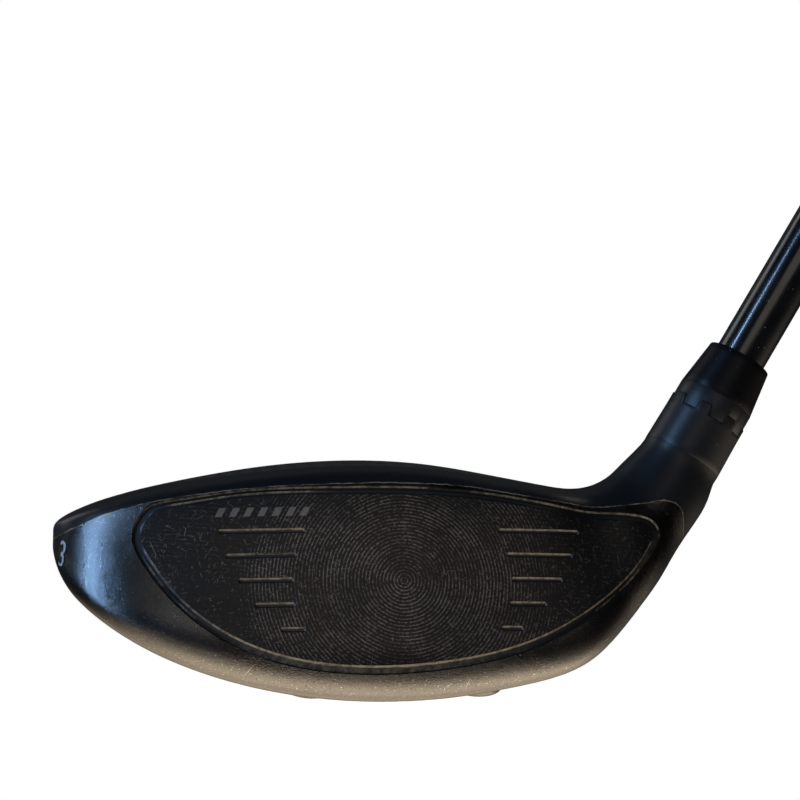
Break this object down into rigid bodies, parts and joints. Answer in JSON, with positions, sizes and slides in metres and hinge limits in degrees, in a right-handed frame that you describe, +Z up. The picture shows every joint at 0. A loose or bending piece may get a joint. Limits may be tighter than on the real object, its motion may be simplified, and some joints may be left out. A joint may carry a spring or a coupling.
{
  "type": "fairway wood",
  "caption": "Golf fairway wood with a hollow steel head, milled face, carbon crown, sole weights, indexed shaft adapter, tapered shaft and rubber grip.",
  "frame": {"origin": "where the shaft axis meets the ground, with the club standing at address", "axes": "+X towards the heel side, +Y from the face to the back of the head, +Z up; the shaft leans 59 degrees from the ground in the XZ plane"},
  "size_m": [0.6571, 0.0833, 0.9421],
  "materials": {
    "painted_steel": "satin",
    "milled_steel": "milled, dark",
    "carbon": "clear-coated carbon weave",
    "adhesive": "cured",
    "weight_steel": "bead blasted",
    "seal_rubber": "matt",
    "anodised_black": "black anodised",
    "screw_steel": "black oxide",
    "retainer_plastic": "matt",
    "ferrule_plastic": "semi-matt",
    "shaft_graphite": "gloss clear coat",
    "pin_brass": "turned",
    "tape_white": "paper tape",
    "grip_rubber": "moulded"
  },
  "bodies": {
    "shaft_assembly": {"shaft": "shaft_graphite", "grip": "grip_rubber", "grip_cap": "grip_rubber", "grip_tape": "tape_white", "tip_pin": "pin_brass", "shaft_bond": "adhesive", "adapter_sleeve": "anodised_black", "ferrule": "ferrule_plastic"},
    "head": {"head_body": "painted_steel", "face_plate": "milled_steel", "crown_panel": "carbon", "crown_bond": "adhesive", "hosel_collar": "anodised_black", "screw_washer": "screw_steel", "screw_retainer": "retainer_plastic"},
    "adapter_screw": {"adapter_screw": "screw_steel"},
    "rear_seal": {"rear_weight_seal": "seal_rubber"},
    "rear_weight": {"rear_weight": "weight_steel"},
    "front_seal": {"front_weight_seal": "seal_rubber"},
    "front_weight": {"front_weight": "weight_steel"}
  },
  "joints": [
    {"name": "head_release", "type": "slide", "parent": "shaft_assembly", "child": "head", "axis": [-0.515, 0, -0.8572], "range_m": [0, 0.008]},
    {"name": "screw_turn", "type": "hinge", "parent": "head", "child": "adapter_screw", "pos_m": [0.0103, 0, 0.01714], "axis": [-0.515, 0, -0.8572], "range_deg": [0, 3600.1]},
    {"name": "rear_weight_out", "type": "slide", "parent": "head", "child": "rear_seal", "axis": [0, 0.3256, -0.9455], "range_m": [0, 0.0052]},
    {"name": "rear_weight_turn", "type": "hinge", "parent": "rear_seal", "child": "rear_weight", "pos_m": [-0.034, 0.045, 0.0051], "axis": [0, 0.3256, -0.9455], "range_deg": [0, 1871.9]},
    {"name": "front_weight_out", "type": "slide", "parent": "head", "child": "front_seal", "axis": [0, 0, -1], "range_m": [0, 0.0052]},
    {"name": "front_weight_turn", "type": "hinge", "parent": "front_seal", "child": "front_weight", "pos_m": [-0.028, 0.006, 0.00075], "axis": [0, 0, -1], "range_deg": [0, 1871.9]}
  ],
  "couplings": [
    {"joint": "screw_turn", "follows": "head_release", "rad_per_m": 7854},
    {"joint": "rear_weight_out", "follows": "rear_weight_turn", "m_per_rad": 0.00015915},
    {"joint": "front_weight_out", "follows": "front_weight_turn", "m_per_rad": 0.00015915}
  ]
}
